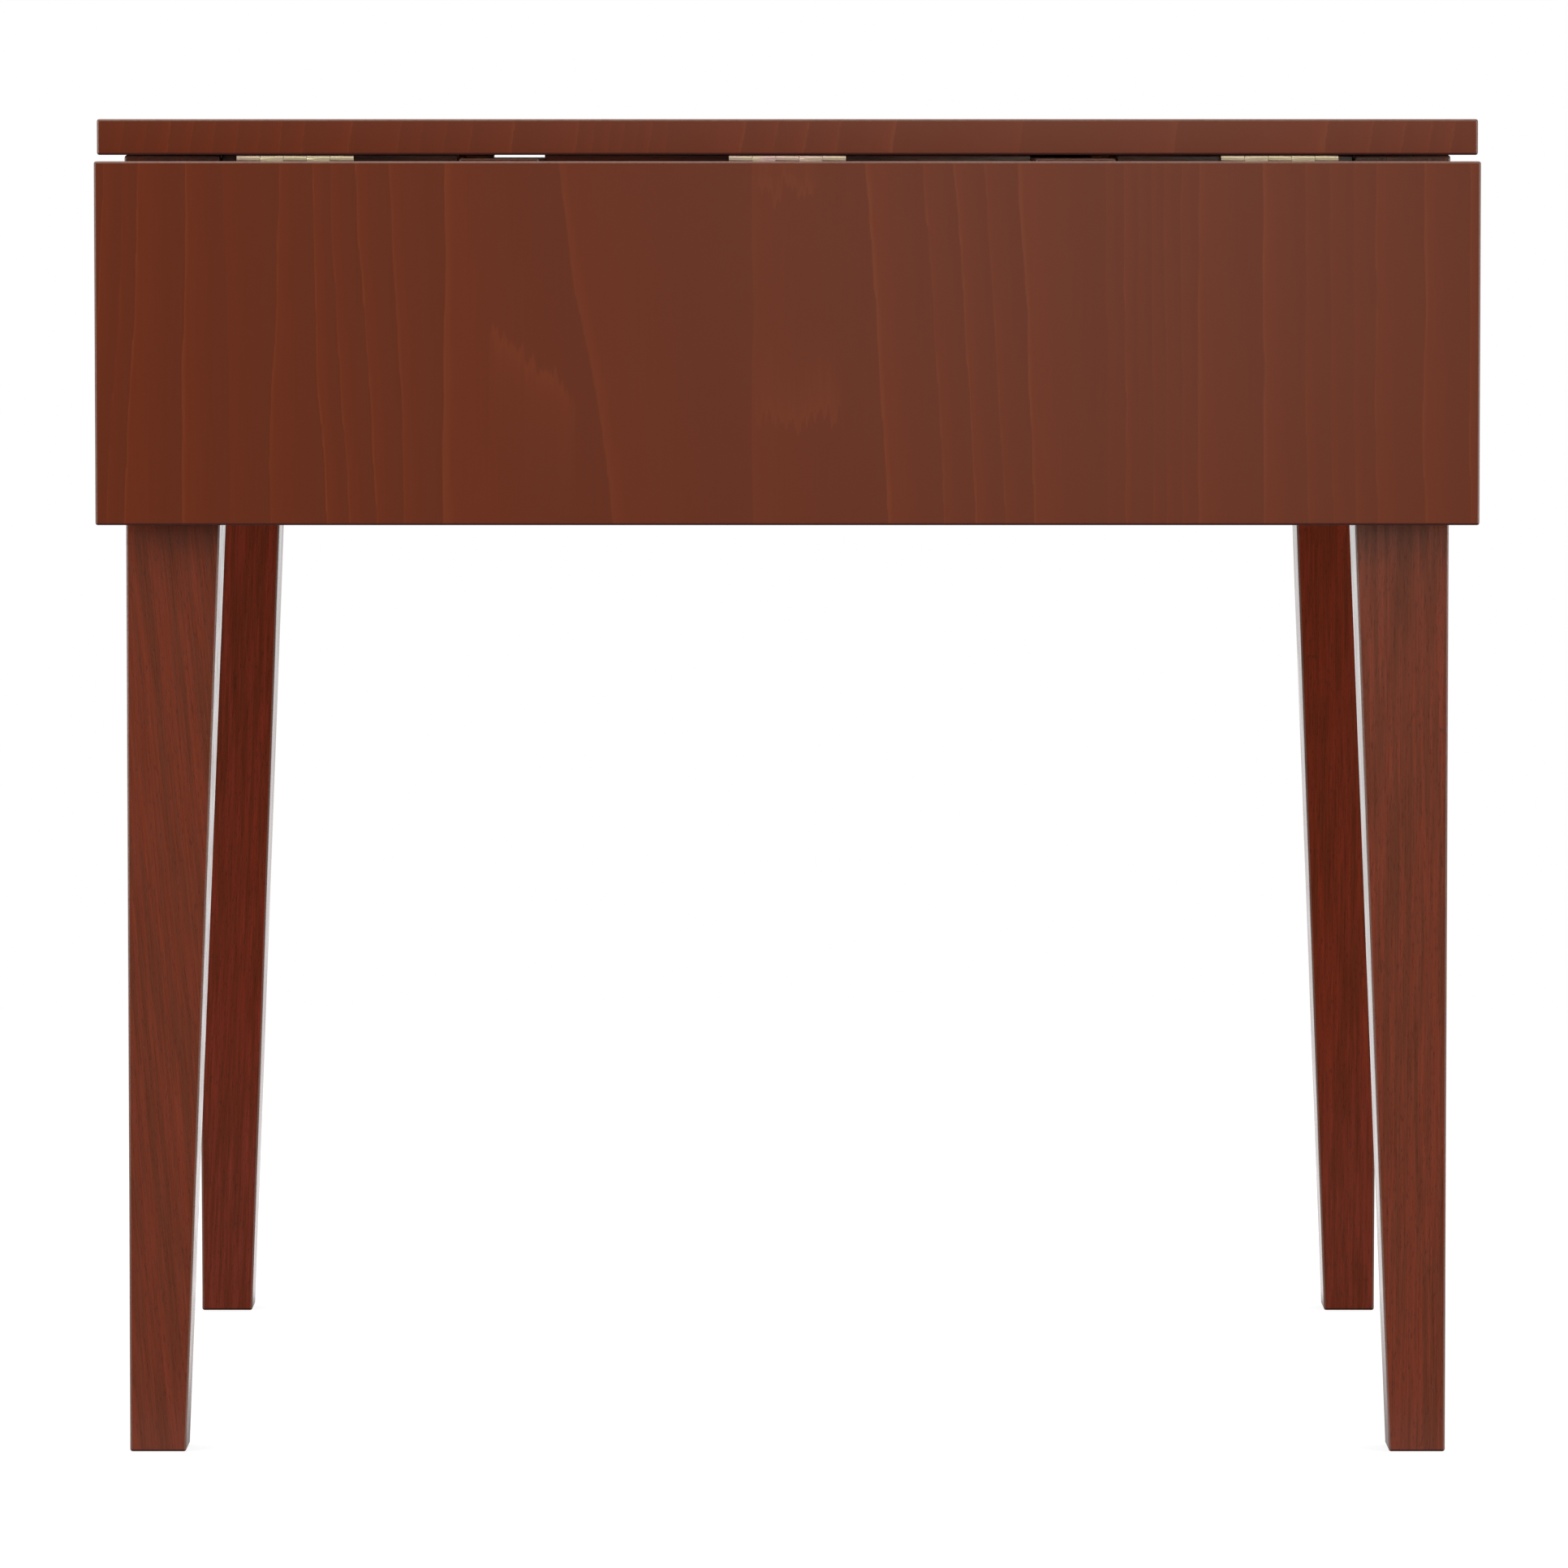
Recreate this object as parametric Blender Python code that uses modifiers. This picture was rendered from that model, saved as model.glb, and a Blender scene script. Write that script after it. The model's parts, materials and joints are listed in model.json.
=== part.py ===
# Drop-leaf dining table: a fixed top on an apron frame with four tapered legs,
# a hinged leaf at the front and at the back, and pull-out slides that carry the raised leaves.
# Metres, +Z up, origin on the floor below the middle of the top, front towards -Y.
from math import asin, cos, pi, radians, sin, sqrt

import bmesh
import bpy
from mathutils import Matrix, Vector

# Driving dimensions
TABLE_HEIGHT = 0.742
TOP_WIDTH = 0.762
TOP_DEPTH = 0.680
BOARD_THICK = 0.0198
BOARD_ROUND = 0.0012
LEAF_REACH = 0.200
OVERHANG = 0.01415  # top past the outer faces of the legs, on all sides

LEG_TOP = 0.0533
LEG_FOOT = 0.0313
LEG_STRAIGHT = 0.176  # square length under the top, before the taper
LEG_ROUND = 0.0012
LEG_CHAMFER = 0.012  # flat on the inner corner for the bolt

APRON_HEIGHT = 0.100
APRON_THICK = 0.019
APRON_SETBACK = 0.005  # behind the outer faces of the legs
APRON_ROUND = 0.0008

SLIDE_WIDTH = 0.0441
SLIDE_HEIGHT = 0.022
SLIDE_DROP = 0.0016  # slide below the underside of the top
SLIDE_INSET = 0.2215  # middle of a slide from the end of the top
SLIDE_ROUND = 0.001
NOTCH_PLAY_INNER = 0.0031  # beside the slide, towards the middle of the table
NOTCH_PLAY_OUTER = 0.0014
CENTRE_GAP = 0.016  # between the inner ends of two facing slides
STOP_WIDTH = 0.040

PIN_RADIUS = 0.004
PIN_PROUD = 0.006  # stop pin past each side of its slide
PIN_TAIL = 0.025  # stop pin from the inner end of its slide
KEEPER_SETBACK = 0.085  # keeper behind the inner face of the apron
KEEPER_LENGTH = 0.030
KEEPER_WALL = 0.008
KEEPER_FLOOR = 0.008
KEEPER_PLAY = 0.001

CLEAT_LENGTH = 0.080
CLEAT_SIZE = 0.020

BRACKET_SHEET = 0.002
BRACKET_HEIGHT = 0.060
BRACKET_WING = 0.030
BRACKET_HOOK = 0.007  # depth of the bent edge in the apron
BRACKET_GAP = 0.008  # between the leg's flat and the bracket
BOLT_RADIUS = 0.004
BOLT_DEPTH = 0.032  # in the leg
BOLT_TAIL = 0.004  # past the nut
NUT_RADIUS = 0.0075
NUT_HEIGHT = 0.0065
FLANGE_RADIUS = 0.009
FLANGE_HEIGHT = 0.0015

HINGE_LENGTH = 0.0645
HINGE_INSET = 0.1095  # middle of an outer hinge from the end of the top
HINGE_SHEET = 0.0014
KNUCKLE_RADIUS = 0.0024
KNUCKLE_COUNT = 5
HINGE_PIN_RADIUS = 0.00125
FLAP_CLEAR = 0.0006  # flap short of the legs' front faces
HOLE_RADIUS = 0.002
HOLE_INSET = 0.0095  # outer screw holes from the ends of a flap
JOINT_GAP = 0.0015  # between top and raised leaf

FIT = 0.0003  # between pieces that touch
RUNNING_FIT = 0.0005  # beside pieces that turn, and in kerfs and bolt holes
PAST = 0.002  # cutters past the surface they cut
WELD = 0.000001  # points this close are one point
SHARP_ANGLE = 40  # degrees between faces that are shaded apart
ROUND_STEPS = 2
BARREL_SIDES = 24
ROD_SIDES = 16
HOLE_SIDES = 12
NUT_SIDES = 6

# Levels and lines that several pieces share
UNDERSIDE = TABLE_HEIGHT - BOARD_THICK
LEG_X = TOP_WIDTH / 2 - OVERHANG
LEG_Y = TOP_DEPTH / 2 - OVERHANG
LEG_HEIGHT = UNDERSIDE - FIT
APRON_INNER = APRON_SETBACK + APRON_THICK
APRON_MIDDLE = LEG_HEIGHT - APRON_HEIGHT / 2
SLIDE_X = TOP_WIDTH / 2 - SLIDE_INSET
SLIDE_TOP = UNDERSIDE - SLIDE_DROP
SLIDE_BOTTOM = SLIDE_TOP - SLIDE_HEIGHT
SLIDE_LENGTH = LEG_Y - CENTRE_GAP / 2
PIN_Y = CENTRE_GAP / 2 + PIN_TAIL
HINGE_X = TOP_WIDTH / 2 - HINGE_INSET
AXIS_Y = TOP_DEPTH / 2 + JOINT_GAP / 2
AXIS_Z = UNDERSIDE - FIT - KNUCKLE_RADIUS
FLAP_WIDTH = JOINT_GAP / 2 + OVERHANG - FLAP_CLEAR
CHAMFER_SUM = 2 * LEG_TOP - LEG_CHAMFER  # x + y on the flat of a leg's inner corner
SHEET_LINE = APRON_INNER + FIT + BRACKET_SHEET / 2  # bracket wings along the aprons
BEND_LINE = CHAMFER_SUM + sqrt(2) * (BRACKET_GAP + BRACKET_SHEET / 2) - SHEET_LINE
KERF_LINE = BEND_LINE + BRACKET_WING
PLATE_FACE = CHAMFER_SUM / sqrt(2) + BRACKET_GAP + BRACKET_SHEET

for old in list(bpy.data.objects):
    bpy.data.objects.remove(old)

parts = bpy.data.collections.new("drop_leaf_table")
cutters = bpy.data.collections.new("cutters")
bpy.context.scene.collection.children.link(parts)
bpy.context.scene.collection.children.link(cutters)


# Materials

def material(name, colour, roughness, metallic):
    made = bpy.data.materials.new(name)
    made.use_nodes = True
    shader = made.node_tree.nodes["Principled BSDF"]
    shader.inputs["Base Color"].default_value = (*colour, 1.0)
    shader.inputs["Roughness"].default_value = roughness
    shader.inputs["Metallic"].default_value = metallic
    return made


stained_wood = material("stained_wood", (0.135, 0.034, 0.017), 0.38, 0.0)
plain_wood = material("plain_wood", (0.30, 0.13, 0.07), 0.6, 0.0)
yellow_zinc = material("yellow_zinc", (0.72, 0.56, 0.32), 0.3, 1.0)
grey_zinc = material("grey_zinc", (0.6, 0.6, 0.6), 0.35, 1.0)


# Shapes

def mesh_from(name, shape):
    mesh = bpy.data.meshes.new(name)
    shape.to_mesh(mesh)
    shape.free()
    return mesh


def box(name, low, high):
    low = Vector(low)
    high = Vector(high)
    shape = bmesh.new()
    place = Matrix.Translation((low + high) / 2) @ Matrix.Diagonal((*(high - low), 1))
    bmesh.ops.create_cube(shape, size=1, matrix=place)
    return mesh_from(name, shape)


def rod(name, radius, length, place, sides):
    # a cylinder on the local Z axis from 0 to length, set by a matrix
    shape = bmesh.new()
    lift = Matrix.Translation((0, 0, length / 2))
    bmesh.ops.create_cone(
        shape,
        cap_ends=True,
        segments=sides,
        radius1=radius,
        radius2=radius,
        depth=length,
        matrix=place @ lift,
    )
    return mesh_from(name, shape)


def cutter(mesh):
    tool = bpy.data.objects.new(mesh.name, mesh)
    tool.hide_render = True
    tool.display_type = "WIRE"
    cutters.objects.link(tool)
    return tool


def boolean(body, operation, tool):
    step = body.modifiers.new(operation.lower(), "BOOLEAN")
    step.operation = operation
    step.object = tool


def finished(mesh, edge=0.0, join=(), cut=()):
    # the mesh with its edges rounded, then joined and cut
    body = bpy.data.objects.new(mesh.name, mesh)
    cutters.objects.link(body)
    if edge:
        rounding = body.modifiers.new("rounding", "BEVEL")
        rounding.width = edge
        rounding.segments = ROUND_STEPS
    for extra in join:
        boolean(body, "UNION", cutter(extra))
    for extra in cut:
        boolean(body, "DIFFERENCE", cutter(extra))
    return evaluated(body)


def evaluated(body):
    view = bpy.context.evaluated_depsgraph_get()
    view.update()
    mesh = bpy.data.meshes.new_from_object(body.evaluated_get(view))
    mesh.name = body.name
    bpy.data.objects.remove(body)
    return mesh


def smooth(mesh):
    mesh.shade_smooth()
    mesh.set_sharp_from_angle(angle=radians(SHARP_ANGLE))
    return mesh


def frame(name, place=(0, 0, 0), turn=0.0, parent=None):
    empty = bpy.data.objects.new(name, None)
    empty.location = place
    empty.rotation_euler = (0, 0, radians(turn))
    empty.parent = parent
    parts.objects.link(empty)
    return empty


def add(name, mesh, finish, parent=None, place=(0, 0, 0)):
    piece = bpy.data.objects.new(name, mesh)
    piece.location = place
    piece.parent = parent
    parts.objects.link(piece)
    if not mesh.materials:
        mesh.materials.append(finish)
    return piece


along_x = Matrix.Rotation(pi / 2, 4, "Y")
along_diagonal = Matrix.Rotation(pi / 4, 4, "Z") @ along_x


# Boards

def top_mesh():
    half = Vector((TOP_WIDTH / 2, TOP_DEPTH / 2, BOARD_THICK / 2))
    middle = Vector((0, 0, UNDERSIDE + BOARD_THICK / 2))
    return smooth(finished(box("table_top", middle - half, middle + half), BOARD_ROUND))


def leaf_mesh():
    # hanging from the hinge axis, which is its origin
    inner = -(KNUCKLE_RADIUS + FIT)
    upper = -JOINT_GAP / 2
    low = (-TOP_WIDTH / 2, inner - BOARD_THICK, upper - LEAF_REACH)
    high = (TOP_WIDTH / 2, inner, upper)
    return smooth(finished(box("leaf", low, high), BOARD_ROUND))


# Legs, in a frame at their outer corner, with the inner faces towards +X and +Y

def leg_mesh():
    taper = LEG_HEIGHT - LEG_STRAIGHT
    shape = bmesh.new()
    middle = Vector((LEG_TOP / 2, LEG_TOP / 2, LEG_HEIGHT / 2))
    size = Matrix.Diagonal((LEG_TOP, LEG_TOP, LEG_HEIGHT, 1))
    bmesh.ops.create_cube(shape, size=1, matrix=Matrix.Translation(middle) @ size)
    everything = shape.verts[:] + shape.edges[:] + shape.faces[:]
    bmesh.ops.bisect_plane(shape, geom=everything, plane_co=(0, 0, taper), plane_no=(0, 0, 1))
    for corner in shape.verts:
        if corner.co.z < taper / 2:
            corner.co.x = min(corner.co.x, LEG_FOOT)
            corner.co.y = min(corner.co.y, LEG_FOOT)
    flat = CHAMFER_SUM / 2
    to_flat = Matrix.Translation((flat, flat, 0)) @ Matrix.Rotation(pi / 4, 4, "Z")
    slice_low = (0, -LEG_TOP, LEG_HEIGHT - APRON_HEIGHT)
    slice_high = (LEG_TOP, LEG_TOP, LEG_HEIGHT + PAST)
    corner_slice = box("leg_corner_slice", slice_low, slice_high)
    corner_slice.transform(to_flat)
    start = CHAMFER_SUM / sqrt(2) - BOLT_DEPTH - FIT
    bore_place = bolt_line(start)
    bore = rod("leg_bore", BOLT_RADIUS + FIT, BOLT_DEPTH + LEG_CHAMFER, bore_place, ROD_SIDES)
    return smooth(finished(mesh_from("leg", shape), LEG_ROUND, cut=(corner_slice, bore)))


def bolt_line(distance):
    # a matrix on the bolt's axis, at a distance from the leg's outer corner
    reach = distance / sqrt(2)
    return Matrix.Translation((reach, reach, APRON_MIDDLE)) @ along_diagonal


def bolt_mesh():
    length = BOLT_DEPTH + BRACKET_GAP + BRACKET_SHEET + FIT + FLANGE_HEIGHT + NUT_HEIGHT + BOLT_TAIL
    place = bolt_line(CHAMFER_SUM / sqrt(2) - BOLT_DEPTH)
    return smooth(rod("hanger_bolt", BOLT_RADIUS, length, place, ROD_SIDES))


def nut_mesh():
    seat = PLATE_FACE + FIT
    whole = FLANGE_HEIGHT + NUT_HEIGHT
    flange = rod("nut_flange", FLANGE_RADIUS, FLANGE_HEIGHT, bolt_line(seat), ROD_SIDES)
    hexagon = rod("nut_hexagon", NUT_RADIUS, whole - FIT, bolt_line(seat + FIT), NUT_SIDES)
    thread = rod("nut_bore", BOLT_RADIUS + FIT, whole + 2 * PAST, bolt_line(seat - PAST), ROD_SIDES)
    return finished(flange, join=(hexagon,), cut=(thread,))


def bracket_mesh():
    # a bent sheet: hook, wing, diagonal plate, wing, hook
    hook = APRON_INNER - BRACKET_HOOK
    wing = [(KERF_LINE, hook), (KERF_LINE, SHEET_LINE), (BEND_LINE, SHEET_LINE)]
    outline = wing + [(y, x) for x, y in reversed(wing)]
    shape = bmesh.new()
    bottom = APRON_MIDDLE - BRACKET_HEIGHT / 2
    corners = [shape.verts.new((x, y, bottom)) for x, y in outline]
    line = [shape.edges.new(pair) for pair in zip(corners, corners[1:])]
    raised = bmesh.ops.extrude_edge_only(shape, edges=line)["geom"]
    lifted = [item for item in raised if isinstance(item, bmesh.types.BMVert)]
    bmesh.ops.translate(shape, verts=lifted, vec=(0, 0, BRACKET_HEIGHT))
    bmesh.ops.recalc_face_normals(shape, faces=shape.faces[:])
    sheet = bpy.data.objects.new("corner_bracket", mesh_from("corner_bracket", shape))
    cutters.objects.link(sheet)
    wall = sheet.modifiers.new("sheet", "SOLIDIFY")
    wall.thickness = BRACKET_SHEET
    wall.offset = 0
    wall.use_even_offset = True
    start = PLATE_FACE - BRACKET_SHEET - PAST
    hole_radius = BOLT_RADIUS + RUNNING_FIT
    hole = rod("bracket_hole", hole_radius, BRACKET_SHEET + 2 * PAST, bolt_line(start), ROD_SIDES)
    boolean(sheet, "DIFFERENCE", cutter(hole))
    return evaluated(sheet)


# Aprons, cleats and slides, in a frame that is turned so that their side is towards -Y

def apron_mesh(name, leg_along, leg_across, notched):
    length = leg_along - LEG_TOP - FIT
    face = -(leg_across - APRON_SETBACK)
    inner = face + APRON_THICK
    low = (-length, face, LEG_HEIGHT - APRON_HEIGHT)
    high = (length, inner, LEG_HEIGHT)
    cuts = []
    kerf_half = BRACKET_SHEET / 2 + RUNNING_FIT
    for side in (-1, 1):
        kerf = side * (leg_along - KERF_LINE)
        kerf_low = (kerf - kerf_half, inner - BRACKET_HOOK - RUNNING_FIT, low[2] - PAST)
        kerf_high = (kerf + kerf_half, inner + PAST, high[2] + PAST)
        cuts.append(box(name + "_kerf", kerf_low, kerf_high))
        if notched:
            ends = [
                side * (SLIDE_X - SLIDE_WIDTH / 2 - NOTCH_PLAY_INNER),
                side * (SLIDE_X + SLIDE_WIDTH / 2 + NOTCH_PLAY_OUTER),
            ]
            notch_low = (min(ends), face - PAST, SLIDE_BOTTOM - FIT)
            notch_high = (max(ends), inner + PAST, high[2] + PAST)
            cuts.append(box(name + "_notch", notch_low, notch_high))
    return finished(box(name, low, high), APRON_ROUND, cut=cuts)


def cleat_mesh(leg_across):
    back = -(leg_across - APRON_INNER) + FIT
    low = (-CLEAT_LENGTH / 2, back, LEG_HEIGHT - CLEAT_SIZE)
    high = (CLEAT_LENGTH / 2, back + CLEAT_SIZE, LEG_HEIGHT)
    return finished(box("top_cleat", low, high), APRON_ROUND)


def slide_mesh():
    # on the slide's own line, from the legs' front faces to the middle
    low = (-SLIDE_WIDTH / 2, -LEG_Y, SLIDE_BOTTOM)
    high = (SLIDE_WIDTH / 2, -LEG_Y + SLIDE_LENGTH, SLIDE_TOP)
    bore_length = SLIDE_WIDTH + 2 * PAST
    bore = rod("slide_bore", PIN_RADIUS + FIT, bore_length, pin_line(bore_length), ROD_SIDES)
    return finished(box("leaf_slide", low, high), SLIDE_ROUND, cut=(bore,))


def pin_line(length):
    height = (SLIDE_TOP + SLIDE_BOTTOM) / 2
    return Matrix.Translation((-length / 2, -PIN_Y, height)) @ along_x


def slide_pin_mesh():
    length = SLIDE_WIDTH + 2 * PIN_PROUD
    return smooth(rod("slide_pin", PIN_RADIUS, length, pin_line(length), ROD_SIDES))


def keeper_mesh():
    start = -(LEG_Y - APRON_INNER) + KEEPER_SETBACK
    channel = SLIDE_WIDTH / 2 + KEEPER_PLAY
    half = channel + KEEPER_WALL
    low = (-half, start, SLIDE_BOTTOM - FIT - KEEPER_FLOOR)
    high = (half, start + KEEPER_LENGTH, LEG_HEIGHT)
    run_low = (-channel, start - PAST, SLIDE_BOTTOM - FIT)
    run_high = (channel, start + KEEPER_LENGTH + PAST, LEG_HEIGHT + PAST)
    run = box("keeper_run", run_low, run_high)
    return finished(box("slide_keeper", low, high), SLIDE_ROUND, cut=(run,))


def stop_block_mesh():
    half = CENTRE_GAP / 2 - FIT
    low = (-STOP_WIDTH / 2, -half, SLIDE_BOTTOM)
    high = (STOP_WIDTH / 2, half, LEG_HEIGHT)
    return finished(box("slide_stop_block", low, high), SLIDE_ROUND)


# Hinges, with the pin on the X axis and the flap below a board, reaching towards +Y

def curl_outline():
    # the knuckle's round, then the flap that leaves it at the top
    level = KNUCKLE_RADIUS - HINGE_SHEET
    step = 2 * pi / BARREL_SIDES
    first = pi / 2
    last = 2 * pi + asin(level / KNUCKLE_RADIUS)
    count = int((last - first) / step)
    turns = [first + step * number for number in range(count + 1)]
    round_part = [(KNUCKLE_RADIUS * cos(a), KNUCKLE_RADIUS * sin(a)) for a in turns]
    meeting = (sqrt(KNUCKLE_RADIUS**2 - level**2), level)
    return round_part + [meeting, (FLAP_WIDTH, level), (FLAP_WIDTH, KNUCKLE_RADIUS)]


def flap_mesh(name, own_first):
    sheet = bpy.data.curves.new(name, "CURVE")
    sheet.dimensions = "2D"
    sheet.fill_mode = "BOTH"
    sheet.extrude = HINGE_LENGTH / 2
    line = sheet.splines.new("POLY")
    outline = curl_outline()
    line.points.add(len(outline) - 1)
    for point, (y, z) in zip(line.points, outline):
        point.co = (y, z, 0, 1)
    line.use_cyclic_u = True
    drawn = bpy.data.objects.new(name, sheet)
    cutters.objects.link(drawn)
    mesh = evaluated(drawn)
    welded = bmesh.new()
    welded.from_mesh(mesh)
    bmesh.ops.remove_doubles(welded, verts=welded.verts[:], dist=WELD)
    welded.to_mesh(mesh)
    welded.free()
    mesh.transform(Matrix(((0, 0, 1, 0), (1, 0, 0, 0), (0, 1, 0, 0), (0, 0, 0, 1))))
    reach = KNUCKLE_RADIUS + RUNNING_FIT
    share = HINGE_LENGTH / KNUCKLE_COUNT
    cuts = []
    for number in range(KNUCKLE_COUNT):
        if (number % 2 == 0) != own_first:
            start = -HINGE_LENGTH / 2 + share * number
            low = (start - FIT / 2, -reach, -reach)
            high = (start + share + FIT / 2, reach, reach)
            if number == 0:
                low = (start - PAST, -reach, -reach)
            if number == KNUCKLE_COUNT - 1:
                high = (start + share + PAST, reach, reach)
            cuts.append(box(name + "_gap", low, high))
    bore_length = HINGE_LENGTH + 2 * PAST
    bore_place = Matrix.Translation((-bore_length / 2, 0, 0)) @ along_x
    cuts.append(rod(name + "_bore", HINGE_PIN_RADIUS + FIT, bore_length, bore_place, ROD_SIDES))
    outer_hole = HINGE_LENGTH / 2 - HOLE_INSET
    hole_row = (reach + FLAP_WIDTH) / 2
    for x in (-outer_hole, 0, outer_hole):
        place = Matrix.Translation((x, hole_row, KNUCKLE_RADIUS - HINGE_SHEET - PAST))
        cuts.append(rod(name + "_hole", HOLE_RADIUS, HINGE_SHEET + 2 * PAST, place, HOLE_SIDES))
    return smooth(finished(mesh, cut=cuts))


def hinge_pin_mesh():
    place = Matrix.Translation((-HINGE_LENGTH / 2, 0, 0)) @ along_x
    return smooth(rod("hinge_pin", HINGE_PIN_RADIUS, HINGE_LENGTH, place, ROD_SIDES))


def hang(mesh):
    # turn a flap over to the other side of the pin and let it hang
    mesh.transform(Matrix.Rotation(pi / 2, 4, "X") @ Matrix.Rotation(pi, 4, "Z"))
    return mesh


# Assembly

def build_corners():
    leg = leg_mesh()
    bracket = bracket_mesh()
    bolt = bolt_mesh()
    nut = nut_mesh()
    corners = (
        ("front_left", -LEG_X, -LEG_Y, 0),
        ("front_right", LEG_X, -LEG_Y, 90),
        ("back_right", LEG_X, LEG_Y, 180),
        ("back_left", -LEG_X, LEG_Y, 270),
    )
    for name, x, y, turn in corners:
        corner = frame(name + "_corner", (x, y, 0), turn)
        add("leg_" + name, leg, stained_wood, corner)
        add("corner_bracket_" + name, bracket, grey_zinc, corner)
        add("hanger_bolt_" + name, bolt, grey_zinc, corner)
        add("bolt_nut_" + name, nut, grey_zinc, corner)


def build_frame():
    add("table_top", top_mesh(), stained_wood)
    long_apron = apron_mesh("long_apron", LEG_X, LEG_Y, True)
    short_apron = apron_mesh("short_apron", LEG_Y, LEG_X, False)
    long_cleat = cleat_mesh(LEG_Y)
    short_cleat = cleat_mesh(LEG_X)
    sides = (
        ("front", 0, long_apron, long_cleat),
        ("right", 90, short_apron, short_cleat),
        ("back", 180, long_apron, long_cleat),
        ("left", 270, short_apron, short_cleat),
    )
    for name, turn, apron, cleat in sides:
        side = frame(name + "_side", turn=turn)
        add(name + "_apron", apron, stained_wood, side)
        add("top_cleat_" + name, cleat, plain_wood, side)


def build_leaves():
    slide = slide_mesh()
    slide_pin = slide_pin_mesh()
    keeper = keeper_mesh()
    leaf = leaf_mesh()
    fixed_flap = flap_mesh("hinge_fixed_flap", True)
    leaf_flap = hang(flap_mesh("hinge_leaf_flap", False))
    hinge_pin = hinge_pin_mesh()
    # turned half round, the back side has its left and right the other way
    for side, turn, hands in (("front", 0, ("left", "right")), ("back", 180, ("right", "left"))):
        slides = frame(side + "_slides", turn=turn)
        axis = frame(side + "_leaf_axis", (0, 0, AXIS_Z), turn)
        axis.location.y = -AXIS_Y if side == "front" else AXIS_Y
        add(side + "_leaf", leaf, stained_wood, axis)
        for hand, x in zip(hands, (-SLIDE_X, SLIDE_X)):
            name = side + "_" + hand
            add("leaf_slide_" + name, slide, stained_wood, slides, (x, 0, 0))
            add("slide_pin_" + name, slide_pin, plain_wood, slides, (x, 0, 0))
            add("slide_keeper_" + name, keeper, plain_wood, slides, (x, 0, 0))
        for hand, x in zip((hands[0], "middle", hands[1]), (-HINGE_X, 0, HINGE_X)):
            name = side + "_" + hand
            add("hinge_fixed_flap_" + name, fixed_flap, yellow_zinc, axis, (x, 0, 0))
            add("hinge_leaf_flap_" + name, leaf_flap, yellow_zinc, axis, (x, 0, 0))
            add("hinge_pin_" + name, hinge_pin, yellow_zinc, axis, (x, 0, 0))
    add("slide_stop_block", stop_block_mesh(), plain_wood, place=(SLIDE_X, 0, 0))


build_corners()
build_frame()
build_leaves()
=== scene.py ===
import json
import math

import bmesh
import bpy
from mathutils import Euler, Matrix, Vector

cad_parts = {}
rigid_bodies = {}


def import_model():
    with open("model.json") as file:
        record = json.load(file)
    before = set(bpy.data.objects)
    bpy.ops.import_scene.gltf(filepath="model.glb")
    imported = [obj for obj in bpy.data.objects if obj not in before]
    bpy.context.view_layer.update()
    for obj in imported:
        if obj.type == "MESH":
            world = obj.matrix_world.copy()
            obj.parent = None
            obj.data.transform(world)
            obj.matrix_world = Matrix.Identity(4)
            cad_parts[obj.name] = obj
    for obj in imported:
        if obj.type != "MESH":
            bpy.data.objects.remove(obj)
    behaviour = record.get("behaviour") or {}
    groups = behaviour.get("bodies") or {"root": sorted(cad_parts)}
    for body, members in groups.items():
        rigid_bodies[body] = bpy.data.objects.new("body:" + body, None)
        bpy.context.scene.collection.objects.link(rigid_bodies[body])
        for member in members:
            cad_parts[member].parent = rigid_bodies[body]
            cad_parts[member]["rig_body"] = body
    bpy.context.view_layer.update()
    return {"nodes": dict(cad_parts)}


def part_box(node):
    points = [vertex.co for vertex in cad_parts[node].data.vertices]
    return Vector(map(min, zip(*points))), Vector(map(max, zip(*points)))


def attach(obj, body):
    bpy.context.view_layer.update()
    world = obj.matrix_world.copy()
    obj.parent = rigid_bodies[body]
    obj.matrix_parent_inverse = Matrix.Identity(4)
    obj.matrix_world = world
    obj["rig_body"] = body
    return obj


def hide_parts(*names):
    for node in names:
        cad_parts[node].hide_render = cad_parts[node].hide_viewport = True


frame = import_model()
print("frame loaded with", len(frame["nodes"]), "pieces")


# Node helpers

def put(tree, kind, feeds=None, **settings):
    # adds a node, sets its options, and links or sets its inputs
    made = tree.nodes.new(kind)
    for key, value in settings.items():
        setattr(made, key, value)
    for key, value in (feeds or {}).items():
        if isinstance(value, bpy.types.NodeSocket):
            tree.links.new(value, made.inputs[key])
        else:
            made.inputs[key].default_value = value
    return made


def calc(tree, operation, *values):
    return put(tree, "ShaderNodeMath", dict(enumerate(values)), operation=operation).outputs[0]


def ease(tree, value, start, end, low, high):
    # smooth step of a value from one range to another
    feeds = {"Value": value, "From Min": start, "From Max": end, "To Min": low, "To Max": high}
    return put(tree, "ShaderNodeMapRange", feeds, interpolation_type="SMOOTHSTEP").outputs[0]


def blendColour(tree, share, first, second, mode="MIX"):
    feeds = {0: share, 6: first, 7: second}
    return put(tree, "ShaderNodeMix", feeds, data_type="RGBA", blend_type=mode).outputs[2]


def blendValue(tree, share, first, second):
    return put(tree, "ShaderNodeMix", {0: share, 2: first, 3: second}, data_type="FLOAT").outputs[0]


def newGroup(name, kind, inputs, outputs):
    tree = bpy.data.node_groups.new(name, kind)
    for label, socketKind, value in inputs:
        socket = tree.interface.new_socket(label, in_out="INPUT", socket_type=socketKind)
        if value is not None:
            socket.default_value = value
    for label, socketKind in outputs:
        tree.interface.new_socket(label, in_out="OUTPUT", socket_type=socketKind)
    return tree, put(tree, "NodeGroupInput").outputs, put(tree, "NodeGroupOutput").inputs


def rgb(*colour):
    return (*colour, 1.0)


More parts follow.
